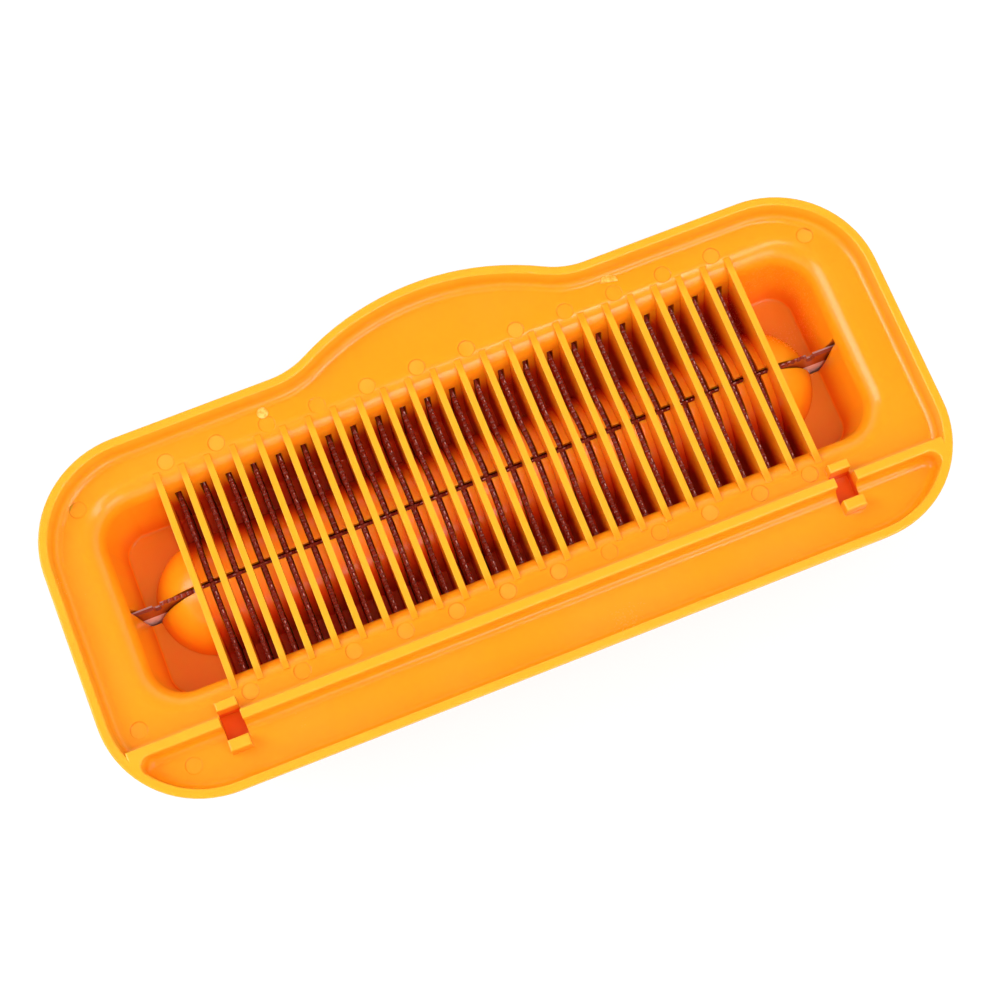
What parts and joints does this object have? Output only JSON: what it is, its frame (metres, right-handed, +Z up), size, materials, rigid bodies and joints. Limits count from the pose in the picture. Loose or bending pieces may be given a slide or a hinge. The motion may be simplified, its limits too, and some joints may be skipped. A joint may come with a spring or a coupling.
{
  "type": "sausage slicer",
  "caption": "Hinged sausage slicer: a slotted tray with a half-round bed and thumb tab, and a deep lid whose crossed blades pass through the slots to cut a sausage.",
  "frame": {"origin": "on the lid's flat outer face, below the middle of the bed's axis", "axes": "+X along the sausage, +Y towards the thumb tab, away from the hinge, +Z up from the lid to the underside of the tray, which is stored lying on its lid as pictured"},
  "size_m": [0.198, 0.0936, 0.043],
  "materials": {
    "orange_plastic": "glossy",
    "brown_plastic": "glossy",
    "pin_steel": "brushed"
  },
  "bodies": {
    "lid": {"lid_shell": "orange_plastic", "blade_carrier": "brown_plastic", "long_blade": "brown_plastic", "cross_blade_01": "brown_plastic", "cross_blade_02": "brown_plastic", "cross_blade_03": "brown_plastic", "cross_blade_04": "brown_plastic", "cross_blade_05": "brown_plastic", "cross_blade_06": "brown_plastic", "cross_blade_07": "brown_plastic", "cross_blade_08": "brown_plastic", "cross_blade_09": "brown_plastic", "cross_blade_10": "brown_plastic", "cross_blade_11": "brown_plastic", "cross_blade_12": "brown_plastic", "cross_blade_13": "brown_plastic", "cross_blade_14": "brown_plastic", "cross_blade_15": "brown_plastic", "cross_blade_16": "brown_plastic", "cross_blade_17": "brown_plastic", "cross_blade_18": "brown_plastic", "cross_blade_19": "brown_plastic", "cross_blade_20": "brown_plastic", "cross_blade_21": "brown_plastic", "cross_blade_22": "brown_plastic", "cross_blade_23": "brown_plastic", "hinge_pin_left": "pin_steel", "hinge_pin_right": "pin_steel"},
    "tray": {"base_tray": "orange_plastic"}
  },
  "joints": [
    {"name": "tray_hinge", "type": "hinge", "parent": "lid", "child": "tray", "pos_m": [0, -0.0337, 0.0235], "axis": [1, 0, 0], "range_deg": [0, 110]}
  ]
}
